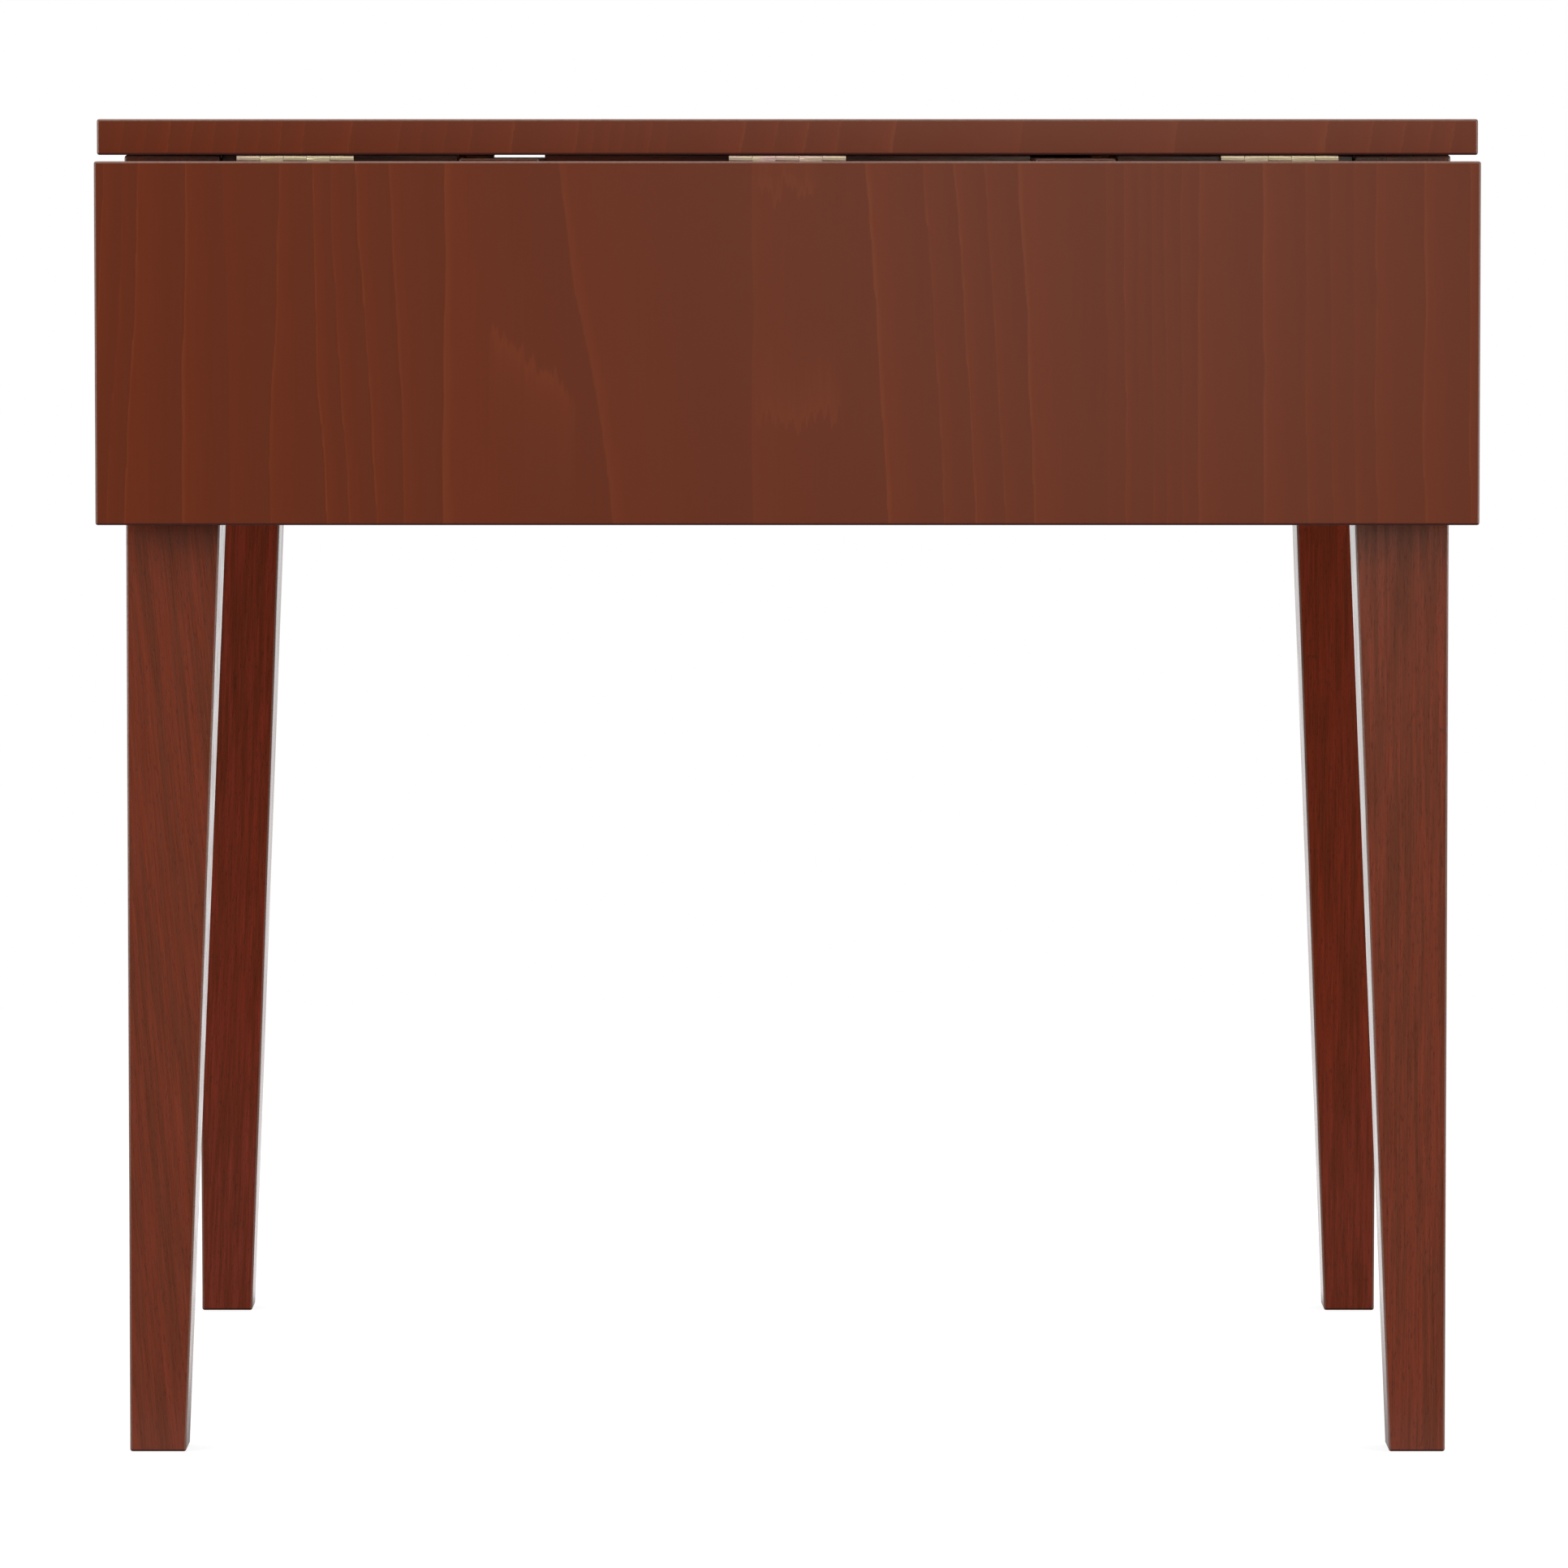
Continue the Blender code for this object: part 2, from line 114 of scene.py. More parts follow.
def addObject(name, data):
    made = bpy.data.objects.new(name, data)
    bpy.context.scene.collection.objects.link(made)
    return made


# Wood growth and figure. Local X runs across the rings, Y along the grain, Z into the board

boardRings = {
    "width": 0.762,
    "starts": (12, 20, 49, 72, 99, 123, 134, 149, 167, 193, 271, 361, 431, 462, 479, 496, 513, 557,
               567, 574, 582, 589, 598, 607, 642, 666, 680, 693, 704, 731, 757),  # mm from the left edge
    "leans": ((0, -0.06), (49, 0.0), (72, 0.035), (99, -0.03), (134, 0.075), (160, 0.07), (193, 0.0),
              (267, 0.21), (310, 0.12), (361, 0.0), (431, 0.08), (505, 0.07), (548, 0.01), (762, 0.0)),
    "leanScale": 0.5,
    "bend": 0.12,  # half wave of a leaning ring along the grain
    "tilt": 0.15,  # lean of the rings into the board
    "lastRing": 0.4,  # share of the ring that the right edge cuts
    "wander": ((7.0, 2.6, 4.0), 0.0042),  # stretch of a noise, and how far it moves the rings
    "ripple": ((30.0, 13.0, 14.0), 0.0022),
    "fray": ((900.0, 26.0, 400.0), 0.0011),
    "swingDetail": 1.5,
}
flames = {  # pale tongues with frayed ends: left, right, tip, slope of the tip, reach along the grain
    "upper": (0.217, 0.264, 0.0113, -0.8, -0.09),
    "middle": (0.362, 0.411, -0.044, 0.0, 0.065),
    "short": (0.364, 0.398, 0.083, 0.0, 0.045),
    "jag": 0.024,
    "jagStretch": (330.0, 8.0, 150.0),
    "leftEdge": (-0.001, 0.002),
    "rightEdge": (-0.003, 0.006),
    "front": 0.03,  # shares of the reach
    "fringe": 0.25,
    "bodyShare": 0.55,
    "lineShare": 0.5,
    "toneShare": 0.75,
}
plainRings = {  # legs, rails, slides and blocks
    "tilt": 0.35,
    "wander": (5.5, 1.5, 4.0),
    "fray": (900.0, 15.0, 400.0),
    "frayDetail": 2.0,
}
figureShape = {
    "fade": 1.7,
    "leastTone": 0.5,
    "lineWidth": 0.08,  # share of a ring
    "lineChance": 0.7,
    "fibre": ((1300.0, 20.0, 700.0), 3.0, 0.6),  # stretch, detail and roughness
    "streak": ((330.0, 9.0, 260.0), 2.5, 0.7),
    "pore": (1500.0, 230.0, 1100.0),
    "poreEdge": (0.14, 0.44),
    "fibreSpread": 0.6,
    "streakSpread": 0.25,
}


def stretched(tree, place, stretch, detail=1.0, roughness=0.5):
    # noise that is drawn out along the grain, around 0
    scaled = put(tree, "ShaderNodeVectorMath", {0: place, 1: stretch}, operation="MULTIPLY").outputs[0]
    feeds = {"Vector": scaled, "Scale": 1.0, "Detail": detail, "Roughness": roughness}
    noise = put(tree, "ShaderNodeTexNoise", feeds).outputs[0]
    return calc(tree, "MULTIPLY_ADD", noise, 2.0, -1.0)


def curve(tree, value, points):
    made = put(tree, "ShaderNodeFloatCurve", {"Value": value})
    line = made.mapping.curves[0]
    line.points[0].location = points[0]
    line.points[-1].location = points[-1]
    for point in points[1:-1]:
        line.points.new(*point)
    for point in line.points:
        point.handle_type = "VECTOR"
    made.mapping.update()
    return made.outputs[0]


def buildFlame():
    labels = ("Left", "Right", "Tip", "Slope", "Reach", "Jag")
    inputs = [("Vector", "NodeSocketVector", None)]
    inputs += [(label, "NodeSocketFloat", 0.0) for label in labels]
    tree, given, result = newGroup("flame", "ShaderNodeTree", inputs, [("Mask", "NodeSocketFloat")])
    xyz = put(tree, "ShaderNodeSeparateXYZ", {0: given["Vector"]}).outputs
    left = calc(tree, "SUBTRACT", xyz["X"], given["Left"])
    right = calc(tree, "SUBTRACT", given["Right"], xyz["X"])
    leftEdge = ease(tree, left, *flames["leftEdge"], 0.0, 1.0)
    inside = calc(tree, "MULTIPLY", leftEdge, ease(tree, right, *flames["rightEdge"], 0.0, 1.0))
    tip = calc(tree, "MULTIPLY_ADD", left, given["Slope"], given["Tip"])
    jag = calc(tree, "MULTIPLY", stretched(tree, given["Vector"], flames["jagStretch"], 2.0), given["Jag"])
    past = calc(tree, "ADD", calc(tree, "SUBTRACT", xyz["Y"], tip), jag)
    past = calc(tree, "DIVIDE", past, given["Reach"])
    fringe = ease(tree, past, 0.0, flames["fringe"], 1.0 - flames["bodyShare"], 0.0)
    fade = calc(tree, "ADD", fringe, ease(tree, past, 0.0, 1.0, flames["bodyShare"], 0.0))
    body = calc(tree, "MULTIPLY", ease(tree, past, 0.0, flames["front"], 0.0, 1.0), fade)
    tree.links.new(calc(tree, "MULTIPLY", inside, body), result["Mask"])
    return tree


def buildBoardGrowth():
    inputs = [("Vector", "NodeSocketVector", None)]
    outputs = [("Ring", "NodeSocketFloat"), ("Flame", "NodeSocketFloat")]
    tree, given, result = newGroup("boardGrowth", "ShaderNodeTree", inputs, outputs)
    xyz = put(tree, "ShaderNodeSeparateXYZ", {0: given["Vector"]}).outputs
    across = calc(tree, "MULTIPLY_ADD", xyz["Z"], boardRings["tilt"], xyz["X"])
    for label in ("wander", "ripple", "fray"):
        stretch, reach = boardRings[label]
        swing = stretched(tree, given["Vector"], stretch, boardRings["swingDetail"])
        across = calc(tree, "MULTIPLY_ADD", swing, reach, across)
    width = boardRings["width"]
    scale = boardRings["leanScale"]  # the curve holds leans around its middle, 0.5
    leanPoints = [(x / 1000 / width, 0.5 + lean / scale) for x, lean in boardRings["leans"]]
    lean = curve(tree, calc(tree, "DIVIDE", across, width), leanPoints)
    lean = calc(tree, "MULTIPLY", calc(tree, "SUBTRACT", lean, 0.5), scale)
    wave = calc(tree, "SINE", calc(tree, "DIVIDE", xyz["Y"], boardRings["bend"]))
    bend = calc(tree, "MULTIPLY", wave, boardRings["bend"])
    across = calc(tree, "MULTIPLY_ADD", lean, bend, across)
    count = len(boardRings["starts"]) + 1
    ringPoints = [(0.0, 0.0)]
    ringPoints += [(x / 1000 / width, (i + 1) / count) for i, x in enumerate(boardRings["starts"])]
    ringPoints += [(1.0, (count - 1 + boardRings["lastRing"]) / count)]
    ring = calc(tree, "MULTIPLY", curve(tree, calc(tree, "DIVIDE", across, width), ringPoints), count)
    tree.links.new(ring, result["Ring"])
    mask = 0.0
    for label in ("upper", "middle", "short"):
        made = put(tree, "ShaderNodeGroup", node_tree=flameMask)
        tree.links.new(given["Vector"], made.inputs["Vector"])
        for socket, value in zip(("Left", "Right", "Tip", "Slope", "Reach"), flames[label]):
            made.inputs[socket].default_value = value
        made.inputs["Jag"].default_value = flames["jag"]
        mask = calc(tree, "MAXIMUM", made.outputs["Mask"], mask)
    tree.links.new(mask, result["Flame"])
    return tree


def buildPlainGrowth():
    floats = ("Ring Width", 0.02), ("Lean", 0.0), ("Wander", 2.0), ("Fray", 0.15)
    inputs = [("Vector", "NodeSocketVector", None)]
    inputs += [(label, "NodeSocketFloat", value) for label, value in floats]
    tree, given, result = newGroup("plainGrowth", "ShaderNodeTree", inputs, [("Ring", "NodeSocketFloat")])
    xyz = put(tree, "ShaderNodeSeparateXYZ", {0: given["Vector"]}).outputs
    across = calc(tree, "MULTIPLY_ADD", xyz["Y"], given["Lean"], xyz["X"])
    across = calc(tree, "MULTIPLY_ADD", xyz["Z"], plainRings["tilt"], across)
    ring = calc(tree, "DIVIDE", across, given["Ring Width"])
    slow = stretched(tree, given["Vector"], plainRings["wander"])
    fray = stretched(tree, given["Vector"], plainRings["fray"], plainRings["frayDetail"])
    ring = calc(tree, "MULTIPLY_ADD", slow, given["Wander"], ring)
    tree.links.new(calc(tree, "MULTIPLY_ADD", fray, given["Fray"], ring), result["Ring"])
    return tree


def buildRingFigure():
    inputs = [("Vector", "NodeSocketVector", None), ("Ring", "NodeSocketFloat", 0.0)]
    labels = ("Tone", "Line", "Fibre", "Streak", "Pore")
    outputs = [(label, "NodeSocketFloat") for label in labels]
    tree, given, result = newGroup("ringFigure", "ShaderNodeTree", inputs, outputs)
    share = calc(tree, "FRACT", given["Ring"])
    ring = calc(tree, "FLOOR", given["Ring"])
    chance = put(tree, "ShaderNodeTexWhiteNoise", {"W": ring}, noise_dimensions="1D").outputs["Value"]
    least = figureShape["leastTone"]
    fade = calc(tree, "POWER", calc(tree, "SUBTRACT", 1.0, share), figureShape["fade"])
    tone = calc(tree, "MULTIPLY", fade, calc(tree, "MULTIPLY_ADD", chance, 1.0 - least, least))
    crisp = calc(tree, "POWER", chance, figureShape["lineChance"])
    line = calc(tree, "MULTIPLY", ease(tree, share, 0.0, figureShape["lineWidth"], 1.0, 0.0), crisp)
    fibre = stretched(tree, given["Vector"], *figureShape["fibre"])
    streak = stretched(tree, given["Vector"], *figureShape["streak"])
    pore = stretched(tree, given["Vector"], figureShape["pore"])
    pore = ease(tree, pore, *figureShape["poreEdge"], 0.0, 1.0)
    for label, value in zip(labels, (tone, line, fibre, streak, pore)):
        tree.links.new(value, result[label])
    return tree


flameMask = buildFlame()
boardGrowth = buildBoardGrowth()
plainGrowth = buildPlainGrowth()
ringFigure = buildRingFigure()


# Plated steel: cloudy tints and fine scuffs

platingShape = {
    "cloudSize": 0.012,
    "detail": 3.0,
    "driftScale": 0.37,
    "scuffScale": 9.0,
    "cloudEdge": (0.35, 0.65),
    "driftEdge": (0.38, 0.62),
    "scuffEdge": (0.3, 0.7),
    "bump": 0.1,
    "bumpDepth": 0.0002,
}


def buildPlating():
    inputs = [("Vector", "NodeSocketVector", None), ("Cloud Size", "NodeSocketFloat", 0.01)]
    outputs = [(label, "NodeSocketFloat") for label in ("Cloud", "Drift", "Scuff")]
    tree, given, result = newGroup("plating", "ShaderNodeTree", inputs, outputs)
    scale = calc(tree, "DIVIDE", 1.0, given["Cloud Size"])
    feeds = {"Vector": given["Vector"], "Scale": scale, "Detail": platingShape["detail"]}
    cloud = put(tree, "ShaderNodeTexNoise", feeds).outputs[0]
    feeds["Scale"] = calc(tree, "MULTIPLY", scale, platingShape["driftScale"])
    drift = put(tree, "ShaderNodeTexNoise", feeds).outputs[0]
    feeds["Scale"] = calc(tree, "MULTIPLY", scale, platingShape["scuffScale"])
    scuff = put(tree, "ShaderNodeTexNoise", feeds).outputs[0]
    tree.links.new(ease(tree, cloud, *platingShape["cloudEdge"], 0.0, 1.0), result["Cloud"])
    tree.links.new(ease(tree, drift, *platingShape["driftEdge"], 0.0, 1.0), result["Drift"])
    tree.links.new(scuff, result["Scuff"])
    return tree


plating = buildPlating()


# Finishes

alongY = (0.0, 0.0, 0.0)
alongZ = (-math.pi / 2, 0.0, 0.0)
alongX = (0.0, 0.0, math.pi / 2)

boardStain = {
    "warm": rgb(0.149, 0.0193, 0.0013),
    "dark": rgb(0.1215, 0.0168, 0.0012),
    "line": rgb(0.168, 0.0290, 0.0045),
    "streak": rgb(0.105, 0.0185, 0.0016),
    "pore": rgb(0.075, 0.0090, 0.0010),
    "paintedArrisHighlight": rgb(0.185, 0.090, 0.064),
    "figure": {"line": 0.95, "streak": 0.10, "pore": 0.0, "fibre": 0.03},
    "specular": 0.45,
    "roughness": (0.275, 0.305),
    "bump": 0.03,
    "coat": (0.0, 0.0),
}
legStain = {
    "warm": rgb(0.190, 0.0235, 0.0028),
    "dark": rgb(0.158, 0.0206, 0.0027),
    "line": rgb(0.110, 0.0142, 0.0016),
    "streak": rgb(0.108, 0.0195, 0.0032),
    "pore": rgb(0.062, 0.0085, 0.0012),
    "paintedArrisHighlight": rgb(0.185, 0.090, 0.064),
    "figure": {"line": 0.45, "streak": 0.75, "pore": 0.50, "fibre": 0.11},
    "specular": 0.48,
    "roughness": (0.25, 0.38),
    "bump": 0.18,
    "coat": (1.0, 0.35),  # thinner where it sank into the streaks
}
coarseFigure = {"line": 0.55, "streak": 0.85, "pore": 0.60, "fibre": 0.16}
rightLegStain = dict(legStain, figure=coarseFigure)
# painted shade: copies of the leg stain with less green and blue, standing in for the sheen that the table
# shades off the back legs; their specular level is lower too
backLegStainPaintedShade = {
    **rightLegStain,
    "warm": rgb(0.186, 0.0190, 0.0019),
    "dark": rgb(0.156, 0.0158, 0.0019),
    "streak": rgb(0.108, 0.0150, 0.0022),
    "specular": 0.20,
}
backLeftLegStainPaintedShade = {
    **backLegStainPaintedShade,
    "warm": rgb(0.190, 0.0195, 0.0036),
    "dark": rgb(0.160, 0.0162, 0.0036),
}
# painted light: the leg stain made about twice as bright, with a paler painted arris highlight, standing
# in for light that the slides lack under the top
slideStainPaintedLight = {
    **legStain,
    "warm": rgb(0.36, 0.060, 0.016),
    "dark": rgb(0.30, 0.052, 0.015),
    "line": rgb(0.21, 0.034, 0.008),
    "streak": rgb(0.22, 0.046, 0.014),
    "paintedArrisHighlight": rgb(0.56, 0.30, 0.22),
}
edges = {  # painted highlight on the arrises above and beside, painted shade on the lower ones
    "highlightShare": (0.5, 0.9),
    "highlightEdge": (-0.7, 0.4),  # of the streaks, which vary how strong the painted highlight is along the arris
    "paintedArrisShade": rgb(0.045, 0.0035, 0.0008),
    "arrisShadeShare": 0.9,
}
lacquer = {"bumpDepth": 0.0002, "coatIor": 1.3, "coatRoughness": 0.17}
bareWood = {
    "warm": rgb(0.36, 0.165, 0.085),
    "dark": rgb(0.27, 0.112, 0.055),
    "line": rgb(0.20, 0.08, 0.04),
    "streak": rgb(0.28, 0.120, 0.060),
    "pore": rgb(0.16, 0.06, 0.03),
    "paintedArrisHighlight": rgb(0.40, 0.20, 0.11),
    "figure": {"line": 0.4, "streak": 0.5, "pore": 0.3, "fibre": 0.08},
    "specular": 0.2,
    "roughness": (0.55, 0.68),
    "bump": 0.08,
    "coat": (0.0, 0.0),
}


def newMaterial(name):
    made = bpy.data.materials.new(name)
    made.use_nodes = True
    tree = made.node_tree
    return made, tree, tree.nodes["Principled BSDF"]


def woodFinish(name, look, turn, offset, rings=None):
    # rings: width, lean, wander and fray of plain stock; boards have their own growth
    made, tree, shader = newMaterial(name)
    place = put(tree, "ShaderNodeTexCoord").outputs["Object"]
    feeds = {"Vector": place, "Location": offset, "Rotation": turn}
    mapped = put(tree, "ShaderNodeMapping", feeds).outputs[0]
    growth = put(tree, "ShaderNodeGroup", node_tree=plainGrowth if rings else boardGrowth)
    tree.links.new(mapped, growth.inputs["Vector"])
    for label, value in zip(("Ring Width", "Lean", "Wander", "Fray"), rings or ()):
        growth.inputs[label].default_value = value
    feeds = {"Vector": mapped, "Ring": growth.outputs["Ring"]}
    figure = put(tree, "ShaderNodeGroup", node_tree=ringFigure)
    for label, value in feeds.items():
        tree.links.new(value, figure.inputs[label])
    tone, line, fibre, streak, pore = figure.outputs.values()
    if not rings:
        flame = growth.outputs["Flame"]
        line = calc(tree, "MAXIMUM", line, calc(tree, "MULTIPLY", flame, flames["lineShare"]))
        tone = calc(tree, "MAXIMUM", tone, calc(tree, "MULTIPLY", flame, flames["toneShare"]))
    colour = blendColour(tree, tone, look["dark"], look["warm"])
    wide = figureShape["streakSpread"]
    streaked = ease(tree, streak, -wide, wide, 0.0, look["figure"]["streak"])
    colour = blendColour(tree, streaked, colour, look["streak"])
    colour = blendColour(tree, calc(tree, "MULTIPLY", line, look["figure"]["line"]), colour, look["line"])
    colour = blendColour(tree, calc(tree, "MULTIPLY", pore, look["figure"]["pore"]), colour, look["pore"])
    spread, depth = figureShape["fibreSpread"], look["figure"]["fibre"]
    shade = ease(tree, fibre, -spread, spread, 1.0 - depth, 1.0 + depth)
    grey = put(tree, "ShaderNodeCombineColor", {0: shade, 1: shade, 2: shade}).outputs[0]
    colour = blendColour(tree, 1.0, colour, grey, "MULTIPLY")
    # painted highlight on the upper and side arrises, painted shade on the lower ones, read from the arris
    # marks
    arris = put(tree, "ShaderNodeAttribute", attribute_name="arris").outputs["Fac"]
    paintedArrisHighlight = calc(tree, "MULTIPLY", arris, ease(tree, streak, *edges["highlightEdge"], *edges["highlightShare"]))
    colour = blendColour(tree, calc(tree, "MAXIMUM", paintedArrisHighlight, 0.0), colour, look["paintedArrisHighlight"])
    paintedArrisShade = calc(tree, "MAXIMUM", calc(tree, "MULTIPLY", arris, -edges["arrisShadeShare"]), 0.0)
    colour = blendColour(tree, paintedArrisShade, colour, edges["paintedArrisShade"])
    tree.links.new(colour, shader.inputs["Base Color"])
    dull = calc(tree, "MAXIMUM", ease(tree, fibre, -spread, spread, *look["roughness"]), paintedArrisShade)
    tree.links.new(dull, shader.inputs["Roughness"])
    height = calc(tree, "SUBTRACT", fibre, pore)
    feeds = {"Strength": look["bump"], "Distance": lacquer["bumpDepth"], "Height": height}
    tree.links.new(put(tree, "ShaderNodeBump", feeds).outputs[0], shader.inputs["Normal"])
    shader.inputs["Specular IOR Level"].default_value = look["specular"]
    coat = ease(tree, streak, -wide, wide, *look["coat"])
    coat = calc(tree, "MULTIPLY", calc(tree, "SUBTRACT", 1.0, paintedArrisShade), coat)
    tree.links.new(coat, shader.inputs["Coat Weight"])
    shader.inputs["Coat IOR"].default_value = lacquer["coatIor"]
    shader.inputs["Coat Roughness"].default_value = lacquer["coatRoughness"]
    return made


def plateFinish(name, tints, roughness):
    made, tree, shader = newMaterial(name)
    place = put(tree, "ShaderNodeTexCoord").outputs["Object"]
    group = put(tree, "ShaderNodeGroup", node_tree=plating)
    tree.links.new(place, group.inputs["Vector"])
    group.inputs["Cloud Size"].default_value = platingShape["cloudSize"]
    colour = blendColour(tree, group.outputs["Cloud"], tints[0], tints[1])
    colour = blendColour(tree, group.outputs["Drift"], colour, tints[2])
    tree.links.new(colour, shader.inputs["Base Color"])
    scuff = group.outputs["Scuff"]
    dull = ease(tree, scuff, *platingShape["scuffEdge"], *roughness)
    tree.links.new(dull, shader.inputs["Roughness"])
    feeds = {"Strength": platingShape["bump"], "Distance": platingShape["bumpDepth"], "Height": scuff}
    tree.links.new(put(tree, "ShaderNodeBump", feeds).outputs[0], shader.inputs["Normal"])
    shader.inputs["Metallic"].default_value = 1.0
    return made


topWood = woodFinish("topWood", boardStain, (0.0, 0.0, math.pi), (0.381, 0.06, 0.0))
frontLeafWood = woodFinish("frontLeafWood", boardStain, alongZ, (0.381, -0.6187, -0.3633))
backLeafWood = woodFinish("backLeafWood", boardStain, (-math.pi / 2, 0.0, math.pi), (0.381, 0.66, 0.2))
legStock = {  # stain, lean of the grain, place in the tree, then width, lean, wander and fray of the rings
    "front_left": (legStain, -0.09, (0.5, 0.1, 0.0), (0.010, 0.01, 2.0, 0.25)),
    "front_right": (rightLegStain, 0.0, (1.4, 0.7, 0.3), (0.0055, 0.0, 1.6, 0.5)),
    "back_left": (backLeftLegStainPaintedShade, 0.045, (2.2, 1.3, 0.5), (0.006, 0.0, 2.0, 0.45)),
    "back_right": (backLegStainPaintedShade, 0.0, (3.1, 1.9, 0.8), (0.006, 0.03, 2.0, 0.45)),
}
legWoods = {}
for corner, (stain, lean, place, rings) in legStock.items():
    depth, side = corner.split("_")
    turn = alongZ[0], 0.0, lean
    legWoods[corner] = woodFinish(depth + side.title() + "LegWood", stain, turn, place, rings)
longRailWood = woodFinish("longRailWood", legStain, alongX, (0.9, 0.4, 0.1), (0.018, 0.02, 2.6, 0.1))
shortRailWood = woodFinish("shortRailWood", legStain, alongY, (1.9, 0.9, 0.7), (0.018, 0.02, 2.6, 0.1))
slideWood = woodFinish("slideWood", slideStainPaintedLight, alongY, (2.9, 0.2, 0.3), (0.014, 0.02, 2.6, 0.1))
blockWood = woodFinish("blockWood", bareWood, alongX, (0.2, 0.8, 0.6), (0.010, 0.02, 2.6, 0.1))
yellowTints = rgb(0.58, 0.43, 0.34), rgb(0.60, 0.41, 0.38), rgb(0.56, 0.48, 0.31)
yellowZinc = plateFinish("yellowZinc", yellowTints, (0.30, 0.44))
greyTints = rgb(0.56, 0.56, 0.57), rgb(0.50, 0.51, 0.54), rgb(0.60, 0.59, 0.57)
greyZinc = plateFinish("greyZinc", greyTints, (0.30, 0.44))
print("finishes made:", len(bpy.data.materials))


# Every piece of the frame gets its finish

def finishFor(node):
    if node.startswith("leg_"):
        return legWoods[node[len("leg_"):]]
    if node in ("front_apron", "back_apron"):
        return longRailWood
    if node in ("left_apron", "right_apron"):
        return shortRailWood
    named = {"table_top": topWood, "front_leaf": frontLeafWood, "back_leaf": backLeafWood}
    if node in named:
        return named[node]
    if node.startswith("leaf_slide"):
        return slideWood
    if node.startswith("hinge_"):
        return yellowZinc
    if node.startswith(("corner_bracket", "hanger_bolt", "bolt_nut")):
        return greyZinc
    return blockWood


for node, piece in frame["nodes"].items():
    piece.data.materials.clear()
    piece.data.materials.append(finishFor(node))
print("finishes given")


# Boards, legs, aprons, slides and hinges with soft round edges in place of the faceted solids

rounding = {
    "weld": 0.00001,
    "sharpAngle": 50.0,
    "lift": 0.0003,  # frame pieces close up to the underside of the top
    "widest": 0.003,  # of a face on a rounded arris
    "offAxis": 0.978,  # most that its normal has along one axis
    "lowerSide": -0.35,
    "evenWeight": 100,
}


def arrisOf(face):
    # 1 on a rounded arris, -1 on one that faces down, 0 on the broad faces
    longest = max(edge.calc_length() for edge in face.edges)
    broad = 2 * face.calc_area() / longest > rounding["widest"]
    if broad or max(abs(c) for c in face.normal) > rounding["offAxis"]:
        return 0.0
    return 1.0 if face.normal.z > rounding["lowerSide"] else -1.0


def easedCopy(name, nodes, lifted=False):
    sources = [frame["nodes"][node] for node in nodes]
    mesh = bpy.data.meshes.new(name)
    shape = bmesh.new()
    for source in sources:
        shape.from_mesh(source.data)
    bmesh.ops.remove_doubles(shape, verts=shape.verts[:], dist=rounding["weld"])
    shape.normal_update()
    # arris marks: where the wood finishes paint a highlight (1) or shade (-1)
    marks = shape.faces.layers.float.new("arris")
    for face in shape.faces:
        face[marks] = arrisOf(face)
    highest = max(vert.co.z for vert in shape.verts)
    for vert in shape.verts:
        if lifted and vert.co.z > highest - rounding["lift"]:
            vert.co.z += rounding["lift"]
    shape.to_mesh(mesh)
    shape.free()
    mesh.shade_smooth()
    mesh.set_sharp_from_angle(angle=math.radians(rounding["sharpAngle"]))
    mesh.materials.clear()
    mesh.materials.append(finishFor(nodes[0]))
    piece = addObject(name, mesh)
    evenShade = piece.modifiers.new("evenShade", "WEIGHTED_NORMAL")
    evenShade.keep_sharp = True
    evenShade.weight = rounding["evenWeight"]
    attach(piece, sources[0]["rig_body"])
    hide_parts(*nodes)


def nodesOf(body, start):
    nodes = frame["nodes"]
    return [node for node in nodes if node.startswith(start) and nodes[node]["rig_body"] == body]


easedWood = {
    "topBoard": "table_top",
    "frontLeafBoard": "front_leaf",
    "backLeafBoard": "back_leaf",
    "frontLeftLeg": "leg_front_left",
    "frontRightLeg": "leg_front_right",
    "backLeftLeg": "leg_back_left",
    "backRightLeg": "leg_back_right",
    "frontLeftSlide": "leaf_slide_front_left",
    "frontRightSlide": "leaf_slide_front_right",
    "backLeftSlide": "leaf_slide_back_left",
    "backRightSlide": "leaf_slide_back_right",
    "frontApron": "front_apron",
    "backApron": "back_apron",
    "leftApron": "left_apron",
    "rightApron": "right_apron",
}
for name, node in easedWood.items():
    easedCopy(name, [node], name.endswith(("Leg", "Apron")))
easedCopy("stopBlock", ["slide_stop_block"], True)
easedHinges = {"frameHinges": "frame", "frontLeafHinges": "front_leaf", "backLeafHinges": "back_leaf"}
for name, body in easedHinges.items():
    easedCopy(name, nodesOf(body, "hinge_"))
print("boards, legs, aprons, slides and hinges eased")


# Screws: a domed head with a cross recess, set along the outward direction of each point

hingeScrews = {"radius": 0.0031, "height": 0.0010, "crossWidth": 0.0036, "crossDepth": 0.0007}
fixingScrews = {"radius": 0.0040, "height": 0.0020, "crossWidth": 0.0046, "crossDepth": 0.0014}
screwShape = {"sides": 20, "steps": 5, "crown": 0.25, "arm": 0.22, "sharpAngle": 40.0, "seed": 5}
screwPlaces = {
    "flapSheet": 0.0014,
    "knuckle": 0.0024,
    "holeRow": 0.0086,  # screw row from the hinge pin
    "holeSpread": 0.02275,
    "wingReach": 0.09703,  # bracket screws from a leg's outer corner
    "wingFace": 0.0263,
    "wingSpread": 0.018,
    "cleatSide": 0.7,  # shares of a cleat's half length
    "cleatBelow": 0.3,
    "keeperInset": 0.004,
    "sink": 0.0001,
}


